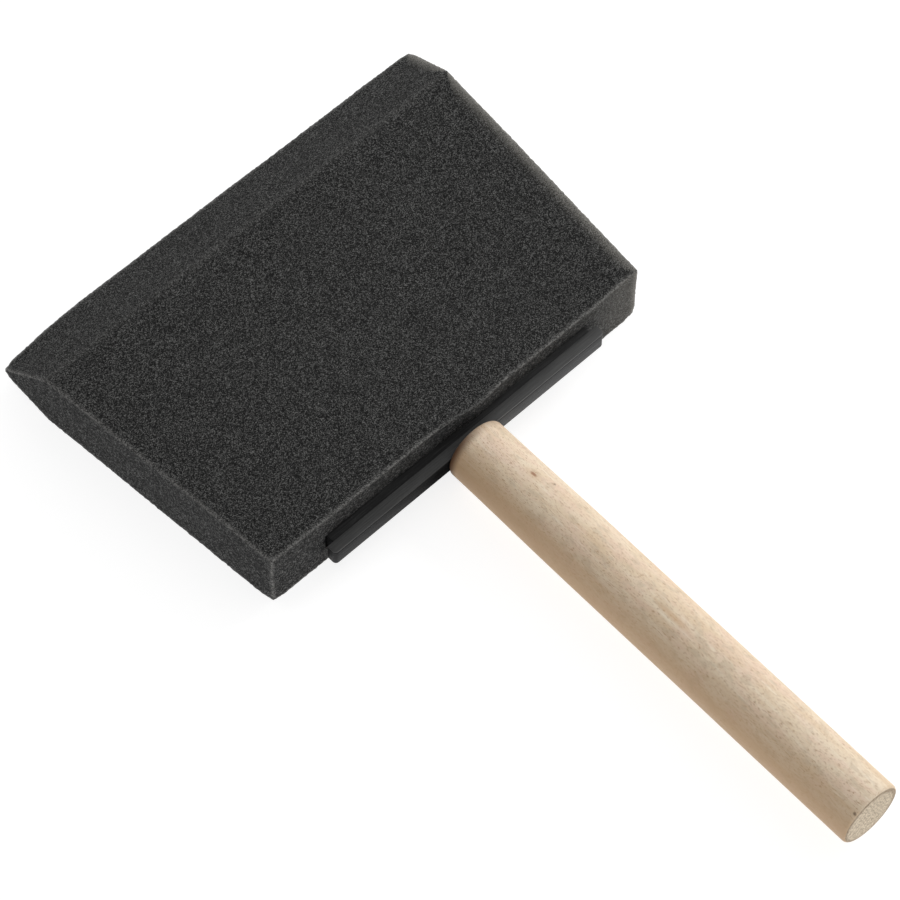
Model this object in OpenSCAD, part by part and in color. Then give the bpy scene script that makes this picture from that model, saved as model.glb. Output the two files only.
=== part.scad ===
/* [Foam head] */
// Width of the foam along its tip, the nominal size of the brush
tip_w = 101.6; // [75:0.1:130]
// Width of the foam at its rear face, where it is narrower
rear_w = 90; // [76:0.5:120]
// Length of the foam from its rear face to its tip
foam_len = 68; // [62:0.5:90]
// Thickness of the foam
foam_t = 15; // [14:0.5:22]
// Length of the two bevels that make the chisel tip
bevel_len = 12; // [6:0.5:14]
// Thickness left at the very tip
tip_edge = 0.8; // [0.4:0.1:2]

/* [Paddle] */
// Length of the bar across the rear of the foam
bar_w = 66.5; // [64:0.5:72]
// Thickness of the bar at its rim
bar_t = 4.1; // [3.7:0.1:6]
// How far the bar stands out of the foam
bar_proud = 3.9; // [3:0.1:5]
// How wide the rim along the bar's rear is
rim_w = 2.1; // [1.5:0.1:2.7]
// How far the rim rises over the rest of the bar, on each face
rim_step = 0.5; // [0.2:0.1:0.7]
// How far the rim reaches past the rest of the bar, at each end
rim_reach = 1.5; // [0:0.1:1.6]
// How far the bar reaches into the mouth of the slit
bar_inset = 3; // [2:0.5:5]
// Radius of the bar's four upright corners
bar_corner_r = 0.8; // [0.5:0.1:1.5]
// Width of the flat blade inside the foam
blade_w = 60; // [50:1:62]
// Length of the blade in front of the bar
blade_len = 44; // [36:1:46]
// Thickness of the blade
blade_t = 2; // [1.5:0.1:2.4]
// Radius of the blade's front corners
blade_corner_r = 6; // [3:0.5:8]
// Diameter of the holes through the blade
blade_hole_d = 5; // [3:0.5:6]
// Radius of the peg that enters the handle
peg_r = 3; // [2.5:0.1:3.2]
// Length of the peg
peg_len = 20; // [12:1:26]

/* [Glue] */
// Thickness of the hot-melt film on each face of the blade
film_t = 0.5; // [0.3:0.1:0.8]

/* [Handle] */
// Diameter of the wooden dowel
dowel_d = 12.7; // [11.5:0.1:14]
// Length of the dowel
dowel_len = 101.2; // [80:0.1:140]
// Radius of the rounding at the dowel's front end
front_round = 1.2; // [0.5:0.1:2]
// Radius of the rounding at the dowel's tail
tail_round = 0.7; // [0.3:0.1:2]

/* [Hidden] */
$fn = 96;

// The brush lies on one broad face; Y runs from the handle's tail to the tip
total_len = foam_len + bar_proud + dowel_len;
tip_y = total_len / 2;
foam_rear_y = tip_y - foam_len;
bevel_y = tip_y - bevel_len;
bar_rear_y = foam_rear_y - bar_proud;
bar_front_y = foam_rear_y + bar_inset;
blade_tip_y = bar_front_y + blade_len;
mid_z = foam_t / 2;

// Thickness and width of the web, the part of the bar in front of its rim
web_t = bar_t - 2 * rim_step;
web_w = bar_w - 2 * rim_reach;

// Slack of the slit round the bar, and of the pocket beside and ahead of the blade
mouth_gap = 0.5;
pocket_slack = 0.5;
pocket_t = blade_t + 2 * film_t;

// Two rows of three holes through the blade
hole_pitch_x = 18;
hole_rows_y = [bar_front_y + 13, bar_front_y + 30];

// The film stops short of the blade's edges
film_margin = 3;

// Two collars grip the glue in the handle's socket
collar_r = peg_r + 0.3;
collar_w = 1.6;
collar_pitch = 7;
socket_r = peg_r + 0.5;
socket_extra = 2;

dowel_r = dowel_d / 2;
through = 1;

// A rectangle centred on X, from y0 to y1, with round corners
module round_rect(w, y0, y1, r) {
    translate([-w / 2 + r, y0]) square([w - 2 * r, y1 - y0]);
    translate([-w / 2, y0 + r]) square([w, y1 - y0 - 2 * r]);
    for (x = [-w / 2 + r, w / 2 - r], y = [y0 + r, y1 - r])
        translate([x, y]) circle(r);
}

// A flat slab of thickness t, centred on the middle of the foam's thickness
module slab(t) {
    translate([0, 0, mid_z - t / 2]) linear_extrude(t) children();
}

// Puts a shape made along +Z onto the handle's axis, starting at y and running to the tail
module along_handle(y) {
    translate([0, y, mid_z]) rotate([90, 0, 0]) children();
}

// Side view of the foam: a block with two bevels that meet at the tip
module foam_profile() {
    polygon([
        [foam_rear_y, 0],
        [bevel_y, 0],
        [tip_y, mid_z - tip_edge / 2],
        [tip_y, mid_z + tip_edge / 2],
        [bevel_y, foam_t],
        [foam_rear_y, foam_t],
    ]);
}

// Plan of the foam: wider at the tip than at the rear
module foam_plan() {
    polygon([
        [-rear_w / 2, foam_rear_y],
        [rear_w / 2, foam_rear_y],
        [tip_w / 2, tip_y],
        [-tip_w / 2, tip_y],
    ]);
}

// The slit in the foam: a pocket for the blade and a wider mouth for the bar
module slit() {
    slab(pocket_t)
        round_rect(blade_w + 2 * pocket_slack, foam_rear_y - through - blade_corner_r,
                   blade_tip_y + pocket_slack, blade_corner_r);
    slab(web_t + 2 * mouth_gap)
        translate([-web_w / 2 - mouth_gap, foam_rear_y - through])
            square([web_w + 2 * mouth_gap, bar_inset + mouth_gap + through]);
}

module foam_head() {
    color([0.17, 0.17, 0.165])
        difference() {
            intersection() {
                translate([-tip_w / 2 - through, 0, 0])
                    rotate([90, 0, 90]) linear_extrude(tip_w + 2 * through) foam_profile();
                linear_extrude(foam_t) foam_plan();
            }
            slit();
        }
}

// The bar across the rear of the foam: a web that enters the slit, and a rim round its rear
module bar() {
    slab(web_t) round_rect(web_w, bar_rear_y, bar_front_y, bar_corner_r);
    slab(bar_t)
        intersection() {
            round_rect(bar_w, bar_rear_y, bar_front_y, bar_corner_r);
            translate([-bar_w / 2, bar_rear_y]) square([bar_w, rim_w]);
        }
}

// The blade's outline, which starts inside the bar
module blade_outline(inset) {
    round_rect(blade_w - 2 * inset, bar_front_y + inset - blade_corner_r,
               blade_tip_y - inset, blade_corner_r);
}

module blade() {
    slab(blade_t)
        difference() {
            intersection() {
                blade_outline(0);
                translate([-blade_w, bar_front_y - through])
                    square([2 * blade_w, blade_len + 2 * through]);
            }
            for (column = [-1 : 1], y = hole_rows_y)
                translate([column * hole_pitch_x, y]) circle(d = blade_hole_d);
        }
}

// The round peg behind the bar, with its root inside the bar and its two collars
module peg() {
    along_handle(bar_rear_y) cylinder(r = peg_r, h = peg_len);
    along_handle(bar_rear_y + through) cylinder(r = web_t / 3, h = 2 * through);
    for (i = [1 : 2])
        along_handle(bar_rear_y - i * collar_pitch) cylinder(r = collar_r, h = collar_w);
}

module paddle() {
    color([0.13, 0.13, 0.135]) {
        bar();
        blade();
        peg();
    }
}

// Hot-melt film on both faces of the blade, joined through its holes
module blade_glue() {
    color([0.86, 0.82, 0.7])
        difference() {
            slab(pocket_t)
                round_rect(blade_w - 2 * film_margin, bar_front_y + film_margin,
                           blade_tip_y - film_margin, blade_corner_r - film_margin / 2);
            blade();
        }
}

// The drilled hole in the handle's front end
module socket() {
    along_handle(bar_rear_y) cylinder(r = socket_r, h = peg_len + socket_extra);
}

// An end of the dowel with a rim of radius r, centred on the rim at y
module rounded_end(y, r) {
    along_handle(y) rotate_extrude() translate([dowel_r - r, 0]) circle(r);
    along_handle(y + r) cylinder(r = dowel_r - r, h = 2 * r);
}

module handle() {
    color([0.83, 0.72, 0.58])
        difference() {
            union() {
                along_handle(bar_rear_y - front_round)
                    cylinder(r = dowel_r, h = dowel_len - front_round - tail_round);
                rounded_end(bar_rear_y - front_round, front_round);
                rounded_end(bar_rear_y - dowel_len + tail_round, tail_round);
            }
            translate([0, through, 0]) socket();
            socket();
        }
}

// Glue that fills the socket round the peg
module socket_glue() {
    color([0.86, 0.82, 0.7])
        difference() {
            socket();
            peg();
        }
}

foam_head();
paddle();
blade_glue();
handle();
socket_glue();
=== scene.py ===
import math
import bmesh
import bpy
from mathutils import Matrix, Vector, noise


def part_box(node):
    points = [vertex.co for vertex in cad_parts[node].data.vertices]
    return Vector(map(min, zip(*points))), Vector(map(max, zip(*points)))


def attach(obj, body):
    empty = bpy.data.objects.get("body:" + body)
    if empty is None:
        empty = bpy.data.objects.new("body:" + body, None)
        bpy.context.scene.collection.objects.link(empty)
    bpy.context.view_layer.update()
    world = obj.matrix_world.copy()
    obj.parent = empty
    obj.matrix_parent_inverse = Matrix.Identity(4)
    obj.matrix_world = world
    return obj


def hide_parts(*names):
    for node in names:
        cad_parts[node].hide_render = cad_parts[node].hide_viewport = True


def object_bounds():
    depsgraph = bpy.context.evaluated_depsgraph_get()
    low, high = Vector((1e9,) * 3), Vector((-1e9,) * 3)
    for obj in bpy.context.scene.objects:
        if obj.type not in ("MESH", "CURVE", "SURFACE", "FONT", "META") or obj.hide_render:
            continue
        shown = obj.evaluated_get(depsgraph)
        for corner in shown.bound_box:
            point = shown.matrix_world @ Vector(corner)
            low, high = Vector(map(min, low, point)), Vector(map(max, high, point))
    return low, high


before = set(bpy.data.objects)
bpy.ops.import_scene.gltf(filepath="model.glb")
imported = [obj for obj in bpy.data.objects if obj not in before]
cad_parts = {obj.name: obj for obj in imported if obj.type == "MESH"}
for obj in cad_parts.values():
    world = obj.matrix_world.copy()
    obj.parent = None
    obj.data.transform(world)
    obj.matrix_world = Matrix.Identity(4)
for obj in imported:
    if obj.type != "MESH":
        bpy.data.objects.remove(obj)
cad_low, cad_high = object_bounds()
mm = 0.001

# ---- Camera ----
# The brush lies on its broad face and is seen from above, over its left rear corner,
# through a long lens.
camera_target = Vector((-3.2 * mm, 16.9 * mm, (cad_low.z + cad_high.z) / 2))
camera_azimuth = math.radians(42.9)
camera_height = math.radians(59.5)
camera_distance = 0.860
camera_away = Vector((
    -math.sin(camera_azimuth) * math.cos(camera_height),
    -math.cos(camera_azimuth) * math.cos(camera_height),
    math.sin(camera_height),
))
bpy.ops.object.camera_add(location=camera_target + camera_away * camera_distance)
camera = bpy.context.object
camera.name = "view_camera"
camera.rotation_euler = camera_away.to_track_quat("Z", "Y").to_euler()
camera.data.sensor_width = 36
camera.data.lens = 190
camera.data.clip_start = 0.01
camera.data.clip_end = 10
bpy.context.scene.camera = camera

# ---- Foam head ----
# One block of charcoal open-cell polyurethane foam, die-cut narrower at the rear, with a bevel
# on both faces that makes the chisel tip. A slit in its rear face takes the paddle, and
# hot-melt glue holds it there.
foam_low, foam_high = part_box("foam_head")
foam_middle_z = (foam_low.z + foam_high.z) / 2
foam_length = foam_high.y - foam_low.y
foam_thickness = foam_high.z - foam_low.z
foam_tip_half = foam_high.x
foam_rear_half = 45 * mm
foam_bevel = 12 * mm
foam_bevel_y = foam_high.y - foam_bevel
foam_tip_edge = 0.8 * mm
foam_grid = 0.45 * mm
grid_slack = 0.1 * mm

# The slit is a pocket for the blade and a wider mouth for the bar. The mouth, like the bar in
# it, is turned a little: it rises by this share of its way to the right.
pocket_half_width = 30.5 * mm
pocket_half_height = 1.5 * mm
pocket_depth = 47.5 * mm
mouth_half_width = 32.25 * mm
mouth_half_height = 2.05 * mm
mouth_depth = 3.5 * mm
mouth_slant = 0.03
knife_overshoot = 6 * mm


def deselect_everything():
    if bpy.context.mode != "OBJECT":
        bpy.ops.object.mode_set(mode="OBJECT")
    bpy.ops.object.select_all(action="DESELECT")


def take_up(*pieces):
    deselect_everything()
    for piece in pieces:
        piece.select_set(True)
    bpy.context.view_layer.objects.active = pieces[0]


def edit(piece, mode="FACE"):
    take_up(piece)
    bpy.ops.object.mode_set(mode="EDIT")
    bpy.ops.mesh.select_mode(type=mode)
    bpy.ops.mesh.select_all(action="DESELECT")
    return bmesh.from_edit_mesh(piece.data)


def box_between(name, low, high):
    deselect_everything()
    bpy.ops.mesh.primitive_cube_add(size=1, location=(low + high) / 2)
    piece = bpy.context.object
    piece.name = name
    piece.scale = high - low
    bpy.ops.object.transform_apply(location=True, rotation=False, scale=True)
    return piece


def cut_away(piece, tool):
    cut = piece.modifiers.new("cut", "BOOLEAN")
    cut.operation = "DIFFERENCE"
    cut.solver = "EXACT"
    cut.object = tool
    take_up(piece)
    bpy.ops.object.modifier_apply(modifier=cut.name)
    bpy.data.objects.remove(tool)


def slant(piece, slope):
    for vertex in piece.data.vertices:
        vertex.co.z += slope * vertex.co.x


def foam_half_width(y):
    along = (y - foam_low.y) / foam_length
    return foam_rear_half + (foam_tip_half - foam_rear_half) * along


def smooth_step(low, high, value):
    t = min(max((value - low) / (high - low), 0), 1)
    return t * t * (3 - 2 * t)


def bell(distance, reach):
    return math.exp(-(distance / reach) ** 2)


def divide_edges(piece, axis, low_y, high_y, pitch):
    """Cut the edges along one axis, between two places on Y, into lengths of about one pitch."""
    # Two passes, each into n lengths, make n squared, which is more than one pass may make.
    steps = 0
    for _ in range(2):
        shape = edit(piece, "EDGE")
        longest = 0
        for line in shape.edges:
            start, end = (v.co for v in line.verts)
            reach = [abs(end[i] - start[i]) for i in range(3)]
            inside = low_y - grid_slack < (start.y + end.y) / 2 < high_y + grid_slack
            if inside and max(reach) > 0 and reach.index(max(reach)) == axis:
                line.select_set(True)
                longest = max(longest, max(reach))
        steps = steps or round(math.sqrt(longest / pitch))
        bpy.ops.mesh.subdivide(number_cuts=steps - 1)
        bpy.ops.object.mode_set(mode="OBJECT")


# The block is widened towards its tip, divided into a fine grid, and then squeezed to its bevels.
foam = box_between("foam_block", foam_low, foam_high)
edit(foam)
bpy.ops.mesh.select_all(action="SELECT")
bpy.ops.mesh.bisect(plane_co=(0, foam_bevel_y, 0), plane_no=(0, 1, 0))
shape = bmesh.from_edit_mesh(foam.data)
for vertex in shape.verts:
    vertex.co.x = math.copysign(foam_half_width(vertex.co.y), vertex.co.x)
bmesh.update_edit_mesh(foam.data)
divide_edges(foam, 0, foam_low.y, foam_high.y, foam_grid)
divide_edges(foam, 1, foam_low.y, foam_bevel_y, foam_grid)
divide_edges(foam, 1, foam_bevel_y, foam_high.y, foam_grid)
divide_edges(foam, 2, foam_low.y, foam_high.y, foam_grid)
for vertex in foam.data.vertices:
    along = max(vertex.co.y - foam_bevel_y, 0) / foam_bevel
    taper = 1 - along * (1 - foam_tip_edge / foam_thickness)
    vertex.co.z = foam_middle_z + (vertex.co.z - foam_middle_z) * taper

# The planes of the cut faces. A point's second smallest depth below them is its distance from
# the nearest arris, where cut cells stand up in a paler fringe, partly their own fuzz and partly a painted
# highlight.
bevel_slope = math.atan2((foam_thickness - foam_tip_edge) / 2, foam_bevel)
side_slope = math.atan2(foam_tip_half - foam_rear_half, foam_length)
foam_planes = [("rear", Vector((0, -1, 0)), -foam_low.y), ("tip", Vector((0, 1, 0)), foam_high.y)]
for side, top_name, side_name in ((1, "top", "right"), (-1, "bottom", "left")):
    top_z = foam_high.z if side > 0 else foam_low.z
    foam_planes.append((top_name, Vector((0, 0, side)), side * top_z))
    normal = Vector((0, math.sin(bevel_slope), side * math.cos(bevel_slope)))
    foam_planes.append((top_name + "_bevel", normal, normal.dot(Vector((0, foam_bevel_y, top_z)))))
    normal = Vector((side * math.cos(side_slope), -math.sin(side_slope), 0))
    foam_planes.append((side_name, normal, normal.dot(Vector((side * foam_rear_half, foam_low.y, 0)))))

# The fringe's painted highlight is faint where a bevel starts, and weaker on the rear arrises beside the
# handle.
# On the right the foam is painted paler, a painted glow of the light shining through it from the right, along
# the arrises of its side and on the rear face near them.
arris_highlight_reach = 0.38 * mm
bevel_highlight_share = 0.15
handle_dimming = 0.6
handle_dimming_centre = 1 * mm
handle_dimming_reach = 5 * mm
frayed_reach = 1.5 * mm
frayed_rear = 0.4
frayed_rear_reach = 10 * mm

# The foam is soft, so its cut faces wave a little, its corners are blunt, the tip's left corner
# droops, and the glued slit pushes the rear face out, most at its top and beside the handle.
rear_swell = 0.3 * mm
lip_height = 0.4 * mm
lip_rise = (-6 * mm, 6 * mm)
lip_fall = (33 * mm, 41 * mm)
swell_centre = 4 * mm
swell_reach = 4.5 * mm
swell_height = 0.62 * mm
swell_depth = 6 * mm
swell_below = 0.3
wave_height = 0.16 * mm
wave_length = 24 * mm
wave_start = Vector((3.1, 7.7, 1.9))
cell_height = 0.12 * mm
cell_length = 0.31 * mm
wave_seed = 7
floor_gap = 0.02 * mm

# Each corner, the way it is pushed, and how far and over what reach it is pushed, in mm.
tip_left = Vector((-foam_tip_half, foam_high.y, foam_middle_z))
tip_right = Vector((foam_tip_half, foam_high.y, foam_middle_z))
rear_left = Vector((-foam_rear_half, foam_low.y, foam_low.z))
rear_right = Vector((foam_rear_half, foam_low.y, foam_low.z))
pushed_corners = [
    (tip_left, Vector((0, -0.15, -1)), 1.9, 10.5),
    (tip_left, Vector((0.6, -0.8, -0.6)), 0.5, 1.6),
    (tip_right, Vector((-0.6, -0.8, 0)), 0.4, 1.6),
    (rear_right, Vector((-0.6, 0.6, 0.6)), 0.35, 1.8),
    (rear_left, Vector((0.6, 0.6, 0.6)), 0.4, 1.6),
]
# The waves and cells are noise drawn from a set seed, so they are the same each time.
noise.seed_set(wave_seed)
foam_marks = ("arris_highlight", "frayed", "cut_face")
for name in foam_marks:
    foam.data.attributes.new(name, "FLOAT", "POINT")
mark_values = [foam.data.attributes[name].data for name in foam_marks]
for vertex, arris_highlight, frayed, cut_face in zip(foam.data.vertices, *mark_values):
    place = vertex.co.copy()
    depths = sorted((reach - normal.dot(place), name) for name, normal, reach in foam_planes)
    nearest = (depths[0][1], depths[1][1])
    on_bevel = nearest[0].split("_")[0] == nearest[1].split("_")[0]
    # Painted highlight: the fringe is paler along each arris, partly cut cells and partly the light they
    # catch.
    arris_highlight.value = bell(depths[1][0], arris_highlight_reach) * (bevel_highlight_share if on_bevel else 1)
    if "rear" in nearest:
        arris_highlight.value *= 1 - handle_dimming * bell(place.x - handle_dimming_centre, handle_dimming_reach)
    cut_face.value = nearest[0] in ("rear", "left", "right")
    # Painted glow: paler near the right arrises and on the right of the rear face, where light from the right
    # shines through the foam.
    if "right" in nearest:
        frayed.value = bell(depths[1][0], frayed_reach)
    if nearest[0] == "rear":
        from_right = foam_half_width(place.y) - place.x
        frayed.value = max(frayed.value, frayed_rear * bell(from_right, frayed_rear_reach))
    lip = smooth_step(*lip_rise, place.x) * (1 - smooth_step(*lip_fall, place.x))
    swell = swell_height * bell(place.x - swell_centre, swell_reach)
    nearness = 1 - smooth_step(0, swell_depth, place.y - foam_low.y)
    upper = swell_below + (1 - swell_below) * smooth_step(foam_middle_z, foam_high.z, place.z)
    vertex.co.y -= (rear_swell + lip_height * lip + swell) * nearness * upper
    for corner, direction, height, reach in pushed_corners:
        vertex.co += direction * height * mm * bell((place - corner).length, reach * mm)
    vertex.co += noise.noise_vector(place / wave_length + wave_start) * wave_height
    vertex.co += noise.noise_vector(place / cell_length) * cell_height
    vertex.co.z = max(vertex.co.z, foam_low.z + floor_gap)

for half_width, half_height, depth, slope in (
    (pocket_half_width, pocket_half_height, pocket_depth, 0),
    (mouth_half_width, mouth_half_height, mouth_depth, mouth_slant),
):
    knife = box_between(
        "slit_knife",
        Vector((-half_width, foam_low.y - knife_overshoot, foam_middle_z - half_height)),
        Vector((half_width, foam_low.y + depth, foam_middle_z + half_height)))
    slant(knife, slope)
    cut_away(foam, knife)
take_up(foam)
bpy.ops.object.shade_smooth()


class Recipe:
    """A material's nodes, added and joined one at a time."""

    def __init__(self, name):
        self.paint = bpy.data.materials.new(name)
        self.paint.use_nodes = True
        self.tree = self.paint.node_tree
        self.shader = self.tree.nodes["Principled BSDF"]
        self.place = self.tree.nodes.new("ShaderNodeTexCoord").outputs["Object"]

    def feed(self, node, key, value):
        if isinstance(value, bpy.types.NodeSocket):
            self.tree.links.new(value, node.inputs[key])
        else:
            node.inputs[key].default_value = value

    def add(self, kind, inputs=None, **settings):
        node = self.tree.nodes.new("ShaderNode" + kind)
        for key, value in settings.items():
            setattr(node, key, value)
        for key, value in (inputs or {}).items():
            self.feed(node, key, value)
        return node

    def axis(self, name):
        return self.add("SeparateXYZ", {0: self.place}).outputs[name]

    def attribute(self, name):
        return self.add("Attribute", attribute_name=name).outputs["Fac"]

    def scaled(self, size, turn=(0, 0, 0), move=(0, 0, 0)):
        """Object coordinates in units of size, which may differ along X, Y and Z."""
        scale = [1 / s for s in (size if isinstance(size, tuple) else (size,) * 3)]
        inputs = {"Vector": self.place, "Scale": scale, "Rotation": turn, "Location": move}
        return self.add("Mapping", inputs).outputs["Vector"]

    def noise(self, vector, detail=2.0, roughness=0.5, distortion=0.0):
        inputs = {"Vector": vector, "Scale": 1.0, "Detail": detail,
                  "Roughness": roughness, "Distortion": distortion}
        return self.add("TexNoise", inputs).outputs["Fac"]

    def math(self, operation, a, b=0.0, c=0.0):
        return self.add("Math", {0: a, 1: b, 2: c}, operation=operation).outputs[0]

    def product(self, a, b):
        return self.math("MULTIPLY", a, b)

    def offset(self, place):
        """The way from a place on the object."""
        return self.add("VectorMath", {0: self.place, 1: place}, operation="SUBTRACT").outputs[0]

    def length(self, vector):
        return self.add("VectorMath", {0: vector}, operation="LENGTH").outputs["Value"]

    def fade(self, value, low, high, start=0.0, end=1.0):
        """start below low, end above high, and a smooth change between."""
        inputs = {"Value": value, "From Min": low, "From Max": high, "To Min": start, "To Max": end}
        return self.add("MapRange", inputs, interpolation_type="SMOOTHSTEP").outputs[0]

    def blend(self, factor, a, b):
        """Colour a where the factor is 0 and colour b where it is 1."""
        node = self.add("Mix", data_type="RGBA")
        colour_a = 6
        colour_b = 7
        colour_out = 2
        self.feed(node, 0, factor)
        for key, value in ((colour_a, a), (colour_b, b)):
            self.feed(node, key, (*value, 1) if isinstance(value, tuple) else value)
        return node.outputs[colour_out]

    def bump(self, height, distance, strength=1.0, before=None):
        inputs = {"Height": height, "Distance": distance, "Strength": strength}
        if before:
            inputs["Normal"] = before
        return self.add("Bump", inputs).outputs["Normal"]

    def finish(self, **values):
        for name, value in values.items():
            self.feed(self.shader, name.replace("_", " "), value)


# Open cells: a few struts catch the light between dark pores. The cut sides show coarser,
# duller cells than the broad faces.
charcoal = Recipe("charcoal_foam")
pore_colour = (0.008, 0.008, 0.008)
strut_colour = (0.190, 0.190, 0.185)
side_pore_colour = (0.015, 0.015, 0.015)
side_strut_colour = (0.150, 0.150, 0.147)
# The colour of the fringe's painted highlight along the arrises.
highlight_colour = (0.27, 0.265, 0.255)
# The colour of the painted glow on the foam's right.
glow_colour = (0.33, 0.315, 0.285)
cell_size = 0.150 * mm
side_cell_size = 0.24 * mm
grit_size = 0.15 * mm
tuft_size = 0.32 * mm
clump_size = 1.4 * mm
glint_rarity = 3.2
side_glint_rarity = 3.0
foam_relief = 0.10 * mm


def cell_draws(size):
    """A number from 0 to 1 drawn for each cell of the foam."""
    cells = charcoal.add("TexVoronoi", {"Vector": charcoal.scaled(size), "Scale": 1.0}, feature="F1")
    return charcoal.add("SeparateColor", {"Color": cells.outputs["Color"]}).outputs["Red"]


grit = charcoal.noise(charcoal.scaled(grit_size), 2.0, 0.7)
clumps = charcoal.noise(charcoal.scaled(clump_size), 2.0, 0.6)
clumps = charcoal.fade(clumps, 0.3, 0.7, 0.85, 1.15)
glints = charcoal.math("POWER", cell_draws(cell_size), glint_rarity)
glints = charcoal.product(glints, charcoal.fade(grit, 0.36, 0.62, 0.30, 1.45))
glints = charcoal.product(glints, clumps)
foam_shade = charcoal.blend(glints, pore_colour, strut_colour)
side_glints = charcoal.math("POWER", cell_draws(side_cell_size), side_glint_rarity)
side_glints = charcoal.product(side_glints, clumps)
side_shade = charcoal.blend(side_glints, side_pore_colour, side_strut_colour)
foam_shade = charcoal.blend(charcoal.attribute("cut_face"), foam_shade, side_shade)
# The fringe's painted highlight along the arrises, broken into tufts.
tufts = charcoal.noise(charcoal.scaled(tuft_size), 1.0, 0.5)
tufted_highlight = charcoal.product(charcoal.attribute("arris_highlight"), charcoal.fade(tufts, 0.40, 0.62, 0.12, 1.0))
foam_shade = charcoal.blend(tufted_highlight, foam_shade, highlight_colour)
# The painted glow of light through the foam's right side, mixed with the grit.
painted_glow = charcoal.product(charcoal.attribute("frayed"), charcoal.fade(grit, 0.35, 0.65, 0.05, 0.95))
foam_shade = charcoal.blend(painted_glow, foam_shade, glow_colour)
charcoal.finish(
    Base_Color=foam_shade, Normal=charcoal.bump(glints, foam_relief, 0.7),
    Roughness=0.95, Sheen_Weight=0.03, Sheen_Roughness=0.5, Specular_IOR_Level=0.08)
foam.data.materials.clear()
foam.data.materials.append(charcoal.paint)
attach(foam, "root")
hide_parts("foam_head")

# ---- Paddle ----
# One injection moulding of black polypropylene: the bar that shows behind the foam, a flat
# blade glued in the slit, and a round peg glued in the handle.
paddle_low, paddle_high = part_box("paddle")
bar_half = paddle_high.x
bar_height = 4.1 * mm
bar_rear_y = foam_low.y - 3.9 * mm
bar_front_y = foam_low.y + 3 * mm
bar_corner = 0.8 * mm
bar_arris = 0.22 * mm
rim_width = 2.1 * mm
rim_step = 0.5 * mm
rim_reach = 1.5 * mm
web_half = bar_half - rim_reach
web_height = bar_height - 2 * rim_step
web_top = foam_middle_z + web_height / 2
parting_drop = 0.42 * mm
parting_width = 0.16 * mm
parting_depth = 0.14 * mm
blade_half = 30 * mm
blade_thickness = 2 * mm
blade_corner = 6 * mm
blade_root = 1 * mm
hole_radius = 2.5 * mm
hole_rows = (13 * mm, 30 * mm)
hole_pitch = 18 * mm
peg_radius = 3 * mm
collar_rise = 0.3 * mm
collar_width = 1.6 * mm
collar_pitch = 7 * mm
collar_numbers = (1, 2)


def pick(elements, test):
    for element in elements:
        if test(element):
            element.select_set(True)


def round_upright_corners(piece, height, radius, segments, test):
    shape = edit(piece, "EDGE")
    pick(shape.edges, lambda e: abs(e.verts[0].co.z - e.verts[1].co.z) > height / 2 and test(e))
    bpy.ops.mesh.bevel(offset=radius, segments=segments, affect="EDGES")
    bpy.ops.object.mode_set(mode="OBJECT")


def ease_arrises(piece, width):
    soften = piece.modifiers.new("soften", "BEVEL")
    soften.width = width
    soften.segments = 3
    soften.limit_method = "ANGLE"
    soften.angle_limit = math.radians(40)
    take_up(piece)
    bpy.ops.object.modifier_apply(modifier=soften.name)


# The rim, with the fine line that the mould's parting leaves round its ends and rear.
bar = box_between(
    "paddle_moulding",
    Vector((-bar_half, bar_rear_y, foam_middle_z - bar_height / 2)),
    Vector((bar_half, bar_rear_y + rim_width, foam_middle_z + bar_height / 2)))
round_upright_corners(bar, bar_height, bar_corner, 6, lambda e: e.verts[0].co.y < bar_rear_y + bar_corner / 2)
line_top = foam_middle_z + bar_height / 2 - parting_drop
line_middle = line_top - parting_width / 2
edit(bar)
for cut_z in (line_top, line_top - parting_width):
    bpy.ops.mesh.select_all(action="SELECT")
    bpy.ops.mesh.bisect(plane_co=(0, 0, cut_z), plane_no=(0, 0, 1))
bpy.ops.mesh.select_all(action="DESELECT")


def on_parting_line(face):
    looks_forward = face.normal.y > 0.3
    return abs(face.calc_center_median().z - line_middle) < parting_width / 8 and not looks_forward


pick(bmesh.from_edit_mesh(bar.data).faces, on_parting_line)
bpy.ops.mesh.extrude_region_shrink_fatten(TRANSFORM_OT_shrink_fatten={"value": -parting_depth})
bpy.ops.object.mode_set(mode="OBJECT")
ease_arrises(bar, bar_arris)

web = box_between(
    "web",
    Vector((-web_half, bar_rear_y + rim_width / 2, foam_middle_z - web_height / 2)),
    Vector((web_half, bar_front_y, web_top)))
round_upright_corners(web, web_height, bar_corner, 6, lambda e: e.verts[0].co.y > foam_low.y)
ease_arrises(web, bar_arris)
take_up(bar, web)
bpy.ops.object.join()
slant(bar, mouth_slant)

blade = box_between(
    "blade",
    Vector((-blade_half, bar_front_y - blade_root, foam_middle_z - blade_thickness / 2)),
    Vector((blade_half, paddle_high.y, foam_middle_z + blade_thickness / 2)))
round_upright_corners(
    blade, blade_thickness, blade_corner, 12, lambda e: e.verts[0].co.y > bar_front_y)
for from_bar in hole_rows:
    for column in (-1, 0, 1):
        deselect_everything()
        bpy.ops.mesh.primitive_cylinder_add(
            vertices=48, radius=hole_radius, depth=3 * blade_thickness,
            location=(column * hole_pitch, bar_front_y + from_bar, foam_middle_z))
        bpy.ops.object.transform_apply(location=True)
        cut_away(blade, bpy.context.object)

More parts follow.
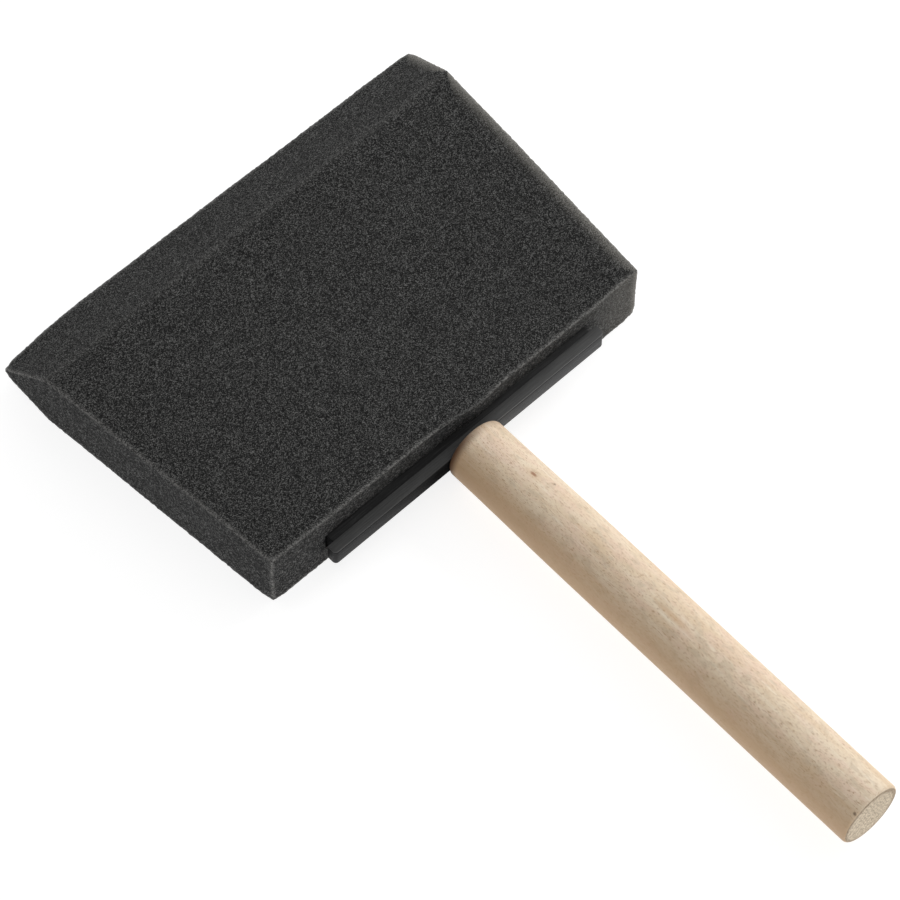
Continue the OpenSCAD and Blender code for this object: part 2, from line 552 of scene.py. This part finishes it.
deselect_everything()
peg_length = bar_rear_y - paddle_low.y
bpy.ops.mesh.primitive_cylinder_add(
    vertices=64, radius=peg_radius, depth=peg_length,
    location=(0, bar_rear_y - peg_length / 2, foam_middle_z),
    rotation=(math.radians(90), 0, 0))
peg = bpy.context.object
bpy.ops.object.transform_apply(location=True, rotation=True)
collar_starts = [bar_rear_y - number * collar_pitch for number in collar_numbers]
for start in collar_starts:
    edit(peg)
    for cut_y in (start, start - collar_width):
        bpy.ops.mesh.select_all(action="SELECT")
        bpy.ops.mesh.bisect(plane_co=(0, cut_y, 0), plane_no=(0, 1, 0))


def on_collar(face):
    y = face.calc_center_median().y
    return any(start - collar_width < y < start for start in collar_starts)


pick(edit(peg).faces, on_collar)
bpy.ops.mesh.extrude_region_shrink_fatten(TRANSFORM_OT_shrink_fatten={"value": collar_rise})
bpy.ops.object.mode_set(mode="OBJECT")
take_up(bar, blade, peg)
bpy.ops.object.join()
paddle = bar
bpy.ops.object.shade_smooth_by_angle(angle=math.radians(35))

# Fine lines drawn along the bar when it left the mould, smudges, and specks of dust.
plastic = Recipe("black_polypropylene")
plastic_dark = (0.010, 0.010, 0.0105)
plastic_worn = (0.040, 0.040, 0.040)
plastic_dust = (0.095, 0.095, 0.094)
draw_line_size = (14 * mm, 0.22 * mm, 0.22 * mm)
smudge_size = 5 * mm
dust_size = 0.35 * mm
draw_line_relief = 0.10 * mm
dust_relief = 0.03 * mm
draw_lines = plastic.noise(plastic.scaled(draw_line_size), 3.0, 0.65)
smudges = plastic.noise(plastic.scaled(smudge_size), 2.0, 0.5)
dust = plastic.noise(plastic.scaled(dust_size), 2.0, 0.6)
wear = plastic.product(plastic.fade(draw_lines, 0.45, 0.75), plastic.fade(smudges, 0.3, 0.7, 0.35, 1.0))
plastic_shade = plastic.blend(wear, plastic_dark, plastic_worn)
specks = plastic.fade(dust, 0.62, 0.78, 0.0, 0.35)
plastic_shade = plastic.blend(specks, plastic_shade, plastic_dust)
plastic_gloss = plastic.fade(draw_lines, 0.3, 0.75, 0.36, 0.55)
plastic_relief = plastic.bump(dust, dust_relief, 0.4)
plastic_relief = plastic.bump(draw_lines, draw_line_relief, 0.6, plastic_relief)

# Paler on the faces that look up: most on the rim, less on the web in front of it.
bar_level = plastic.math("MULTIPLY_ADD", plastic.axis("X"), -mouth_slant, plastic.axis("Z"))
upward_lightening = plastic.fade(bar_level, web_top - 0.3 * mm, web_top + rim_step, 0.0, 0.75)
upward_lightening = plastic.product(upward_lightening, plastic.fade(draw_lines, 0.25, 0.7, 0.75, 1.1))
plastic_shade = plastic.blend(upward_lightening, plastic_shade, plastic_dust)

# Painted shade and painted reflection: the plastic's reflection is turned down on the left, most
# beside the handle, where the handle's shadow falls, and turned up on the right, towards the light.
shaded_left_reflection = plastic.fade(plastic.axis("X"), -28 * mm, -8 * mm, 0.11, 0.0)
lit_right_reflection = plastic.fade(plastic.axis("X"), 0.0, 8 * mm, 0.0, 0.25)
plastic.finish(
    Base_Color=plastic_shade, Roughness=plastic_gloss, Normal=plastic_relief,
    Specular_IOR_Level=plastic.math("ADD", shaded_left_reflection, lit_right_reflection))
paddle.data.materials.clear()
paddle.data.materials.append(plastic.paint)
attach(paddle, "root")
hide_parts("paddle")

# ---- Handle ----
# A plain birch dowel, turned and tumbled but not varnished. Its front rim is rounded and
# darker brown, most on its left, its tail is sawn, and a hole drilled in the front takes the paddle's peg.
handle_low, handle_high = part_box("handle")
dowel_radius = handle_high.x
dowel_length = handle_high.y - handle_low.y
front_round = 0.9 * mm
tail_round = 0.7 * mm
tail_rings = 3
socket_radius = 3.5 * mm
socket_depth = 22 * mm

# The lathe left it a little wavy and fuller behind its front end, and the glue set with the
# handle a little aside and turned.
turning_step = 1.5 * mm
turning_wobble = 0.035 * mm
turning_waves = (4 * mm, 16 * mm, 4 * mm)
turning_swell = 0.2 * mm
turning_swell_reach = (3 * mm, 30 * mm)
glued_aside = 0.45 * mm
glued_turn = 0.0025

deselect_everything()
bpy.ops.mesh.primitive_cylinder_add(
    vertices=128, radius=dowel_radius, depth=dowel_length,
    location=(0, (handle_low.y + handle_high.y) / 2, foam_middle_z),
    rotation=(math.radians(90), 0, 0))
handle = bpy.context.object
handle.name = "dowel_handle"
bpy.ops.object.transform_apply(location=True, rotation=True)


def at_y(element, y):
    return all(abs(v.co.y - y) < 0.01 * mm for v in element.verts)


for rim_y, rim_round in ((handle_high.y, front_round), (handle_low.y, tail_round)):
    pick(edit(handle, "EDGE").edges, lambda e: at_y(e, rim_y))
    bpy.ops.mesh.bevel(offset=rim_round, segments=6, affect="EDGES")
pick(edit(handle).faces, lambda f: at_y(f, handle_high.y))
bpy.ops.mesh.inset(thickness=dowel_radius - front_round - socket_radius)
bpy.ops.mesh.extrude_region_move(TRANSFORM_OT_translate={"value": (0, -socket_depth, 0)})
pick(edit(handle).faces, lambda f: at_y(f, handle_low.y))
for _ in range(tail_rings):
    bpy.ops.mesh.inset(thickness=(dowel_radius - tail_round) / (tail_rings + 1))
shape = edit(handle, "EDGE")
pick(shape.edges, lambda e: abs(e.verts[0].co.y - e.verts[1].co.y) > dowel_length / 2)
bpy.ops.mesh.subdivide(number_cuts=round(dowel_length / turning_step))
bpy.ops.object.mode_set(mode="OBJECT")
for vertex in handle.data.vertices:
    around = Vector((vertex.co.x, 0, vertex.co.z - foam_middle_z))
    behind = handle_high.y - vertex.co.y
    if around.length > socket_radius + 1 * mm:
        sample = Vector([part / wave for part, wave in zip(vertex.co, turning_waves)])
        fullness = turning_swell * smooth_step(*turning_swell_reach, behind)
        vertex.co += around.normalized() * (fullness + turning_wobble * noise.noise(sample))
    vertex.co.x += glued_aside - glued_turn * behind
bpy.ops.object.shade_smooth_by_angle(angle=math.radians(40))

# Pale growth bands and threads along the dowel, with pink and grey stains, short brown pores and
# pale scratches from the tumbling.
wood = Recipe("pale_birch")
wood_cream = (0.89, 0.76, 0.585)
wood_tan = (0.77, 0.595, 0.405)
wood_pink = (0.83, 0.62, 0.48)
wood_grey = (0.64, 0.52, 0.375)
# The colour of the painted shade on the dowel's left side.
wood_shadow_colour = (0.50, 0.315, 0.165)
wood_fleck = (0.45, 0.265, 0.14)
wood_pale = (0.98, 0.87, 0.72)
wood_rim_dark = (0.13, 0.06, 0.028)
grain_turn = (0, 0, math.radians(3))
scratch_turn = (0, 0, math.radians(-6))
bands = wood.noise(wood.scaled((2.6 * mm, 34 * mm, 2.6 * mm), grain_turn), 3.0, 0.5, 0.4)
threads = wood.noise(wood.scaled((0.26 * mm, 4 * mm, 0.26 * mm), grain_turn), 3.0, 0.65)
pores = wood.noise(wood.scaled((0.14 * mm, 0.75 * mm, 0.14 * mm), grain_turn), 2.0, 0.65)
clouds = wood.noise(wood.scaled((3 * mm, 7 * mm, 3 * mm), move=(1.3, 0.4, 2.2)), 3.0, 0.6)
stains = wood.noise(wood.scaled((1.6 * mm, 3 * mm, 1.6 * mm), move=(5.1, 2.7, 0.6)), 2.0, 0.5)
scratches = wood.noise(wood.scaled((0.13 * mm, 5 * mm, 0.13 * mm), scratch_turn), 1.0, 0.4)
wood_shade = wood_cream
for pattern, low, high, strength, colour in (
    (bands, 0.30, 0.70, 1.0, wood_tan),
    (clouds, 0.42, 0.68, 0.7, wood_pink),
    (stains, 0.50, 0.68, 0.60, wood_grey),
    (threads, 0.46, 0.66, 0.55, wood_tan),
    (pores, 0.55, 0.68, 0.85, wood_fleck),
    (scratches, 0.62, 0.72, 0.45, wood_pale),
):
    wood_shade = wood.blend(wood.fade(pattern, low, high, 0.0, strength), wood_shade, colour)

# Painted shade: the dowel's left side, away from the light, is darker, a little paler towards the tail, where
# the foam blocks less light.
shaded_side = wood.product(wood.fade(wood.axis("X"), -6.3 * mm, -1.2 * mm, 1.0, 0.0), 0.9)
shade_along = wood.fade(wood.axis("Y"), handle_high.y - 45 * mm, handle_high.y - 3 * mm, 0.84, 1.0)
wood_shade = wood.blend(wood.product(shaded_side, shade_along), wood_shade, wood_shadow_colour)


def dowel_mark(from_front, degrees, size, core):
    """1 in the core of an ellipsoid on the dowel's surface, and 0 outside it."""
    turn = math.radians(degrees)
    place = (dowel_radius * math.sin(turn), handle_high.y - from_front,
             foam_middle_z + dowel_radius * math.cos(turn))
    location = [-p / s for p, s in zip(place, size)]
    return wood.fade(wood.length(wood.scaled(size, move=location)), core, 1.0, 1.0, 0.0)


# A knot in its halo, an amber streak, a dark speck, and a nick near the tail.
for from_front, degrees, size, core, strength, colour in (
    (14.3 * mm, 17, (1.6 * mm, 3.2 * mm, 2 * mm), 0.2, 0.35, (0.62, 0.40, 0.22)),
    (14.3 * mm, 17, (0.45 * mm, 1.1 * mm, 1 * mm), 0.3, 0.8, (0.30, 0.11, 0.04)),
    (52 * mm, -2, (0.9 * mm, 6.5 * mm, 1.5 * mm), 0.0, 0.45, (0.62, 0.36, 0.16)),
    (18.2 * mm, 32, (0.3 * mm, 0.45 * mm, 1 * mm), 0.3, 0.7, (0.16, 0.09, 0.05)),
    (100.6 * mm, -36, (0.35 * mm, 0.5 * mm, 1 * mm), 0.3, 0.7, (0.12, 0.08, 0.05)),
):
    spot = wood.product(dowel_mark(from_front, degrees, size, core), strength)
    wood_shade = wood.blend(spot, wood_shade, colour)

# The front rim is darker brown, most on its left.
front_rim_darkening = wood.fade(wood.axis("Y"), handle_high.y - 2.4 * mm, handle_high.y - 0.6 * mm, 0.0, 0.95)
front_rim_darkening = wood.product(front_rim_darkening, wood.fade(wood.axis("X"), -5 * mm, 4 * mm, 1.0, 0.35))
wood_shade = wood.blend(front_rim_darkening, wood_shade, wood_rim_dark)
wood_relief = wood.bump(pores, 0.06 * mm, 0.35)
wood_relief = wood.bump(threads, 0.05 * mm, 0.4, wood_relief)
wood.finish(Base_Color=wood_shade, Normal=wood_relief, Roughness=0.6, Specular_IOR_Level=0.45)

# The sawn tail shows end grain: open pores in faint rings about a heart off the dowel's axis.
end_grain = Recipe("sawn_end_grain")
end_light = (0.82, 0.70, 0.54)
end_dark = (0.30, 0.23, 0.16)
end_rim = (0.22, 0.14, 0.085)
heart = (11 * mm, 0, foam_middle_z - 16 * mm)
ring_pitch = 1.3 * mm
saw_pore_size = 0.42 * mm
saw_mark_size = (0.35 * mm, 1 * mm, 4 * mm)
saw_turn = (0, math.radians(35), 0)
from_heart = end_grain.add("SeparateXYZ", {0: end_grain.offset(heart)})
from_heart = end_grain.add(
    "CombineXYZ", {"X": from_heart.outputs["X"], "Y": 0.0, "Z": from_heart.outputs["Z"]})
ring_distance = end_grain.length(from_heart.outputs[0])
ring_wave = end_grain.math("SINE", end_grain.product(ring_distance, 2 * math.pi / ring_pitch))
saw_pores = end_grain.noise(end_grain.scaled(saw_pore_size), 2.0, 0.6)
saw_marks = end_grain.noise(end_grain.scaled(saw_mark_size, saw_turn), 2.0, 0.6)
end_shade = end_grain.blend(end_grain.fade(saw_pores, 0.47, 0.60, 0.0, 0.8), end_light, end_dark)
end_shade = end_grain.blend(end_grain.fade(ring_wave, 0.0, 1.0, 0.0, 0.25), end_shade, end_dark)
from_axis = end_grain.length(end_grain.offset((0, handle_low.y, foam_middle_z)))
edge_grime = end_grain.fade(from_axis, dowel_radius - 1.2 * mm, dowel_radius - 0.4 * mm, 0.0, 0.5)
end_shade = end_grain.blend(edge_grime, end_shade, end_rim)
end_relief = end_grain.bump(saw_marks, 0.08 * mm, 0.5)
end_relief = end_grain.bump(saw_pores, 0.12 * mm, 0.6, end_relief)
end_grain.finish(Base_Color=end_shade, Normal=end_relief, Roughness=0.9, Specular_IOR_Level=0.15)
handle.data.materials.clear()
handle.data.materials.append(wood.paint)
handle.data.materials.append(end_grain.paint)
for face in handle.data.polygons:
    if face.normal.y < -0.85 and face.center.y < handle_low.y + tail_round:
        face.material_index = 1
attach(handle, "root")
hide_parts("handle")

# ---- Glue ----
# Hot-melt adhesive, milky and slightly glossy, which set on both faces of the blade inside the
# foam and round the peg inside the handle.
hot_melt = Recipe("hot_melt_glue")
glue_milky = (0.80, 0.72, 0.52)
glue_amber = (0.62, 0.50, 0.30)
glue_clouds = hot_melt.noise(hot_melt.scaled(3 * mm), 3.0, 0.5)
glue_bubbles = hot_melt.noise(hot_melt.scaled(0.8 * mm), 2.0, 0.5)
hot_melt.finish(
    Base_Color=hot_melt.blend(glue_clouds, glue_milky, glue_amber),
    Normal=hot_melt.bump(glue_bubbles, 0.2 * mm, 0.4),
    Roughness=0.35, Subsurface_Weight=0.2, Subsurface_Scale=1 * mm)
for node in ("blade_glue", "socket_glue"):
    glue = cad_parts[node]
    glue.data.materials.clear()
    glue.data.materials.append(hot_melt.paint)

# ---- Floor and lights ----
# A plain white light table in a white room that is brighter on the right, with one soft box low
# on that side.
deselect_everything()
bpy.ops.mesh.primitive_plane_add(size=6, location=(0, 0, 0))
floor = bpy.context.object
floor.name = "floor"
floor_paint = Recipe("floor_white")
floor_light = (0.36, 0.36, 0.36)
floor_dark = (0.34, 0.34, 0.34)
floor_tone = floor_paint.noise(floor_paint.scaled(0.3), 2.0)
floor_paint.finish(
    Base_Color=floor_paint.blend(floor_tone, floor_light, floor_dark),
    Roughness=0.9, Emission_Color=(1, 1, 1, 1), Emission_Strength=0.82)
floor.data.materials.append(floor_paint.paint)

room_left = 0.35
room_right = 0.85
world = bpy.data.worlds.new("studio")
bpy.context.scene.world = world
world.use_nodes = True
room = world.node_tree
room_direction = room.nodes.new("ShaderNodeTexCoord")
room_across = room.nodes.new("ShaderNodeSeparateXYZ")
room_level = room.nodes.new("ShaderNodeMapRange")
room_level.inputs["From Min"].default_value = -1
room_level.inputs["To Min"].default_value = room_left
room_level.inputs["To Max"].default_value = room_right
room.links.new(room_direction.outputs["Generated"], room_across.inputs[0])
room.links.new(room_across.outputs["X"], room_level.inputs["Value"])
room.links.new(room_level.outputs[0], room.nodes["Background"].inputs["Strength"])
room.nodes["Background"].inputs["Color"].default_value = (1, 1, 1, 1)
bpy.context.scene.view_settings.view_transform = "Standard"

key_place = Vector((0.50, 0.05, 0.30))
bpy.ops.object.light_add(type="AREA", location=key_place)
key_light = bpy.context.object
key_light.name = "key_light"
key_light.data.energy = 1.3
key_light.data.size = 0.25
key_light.rotation_euler = key_place.to_track_quat("Z", "Y").to_euler()
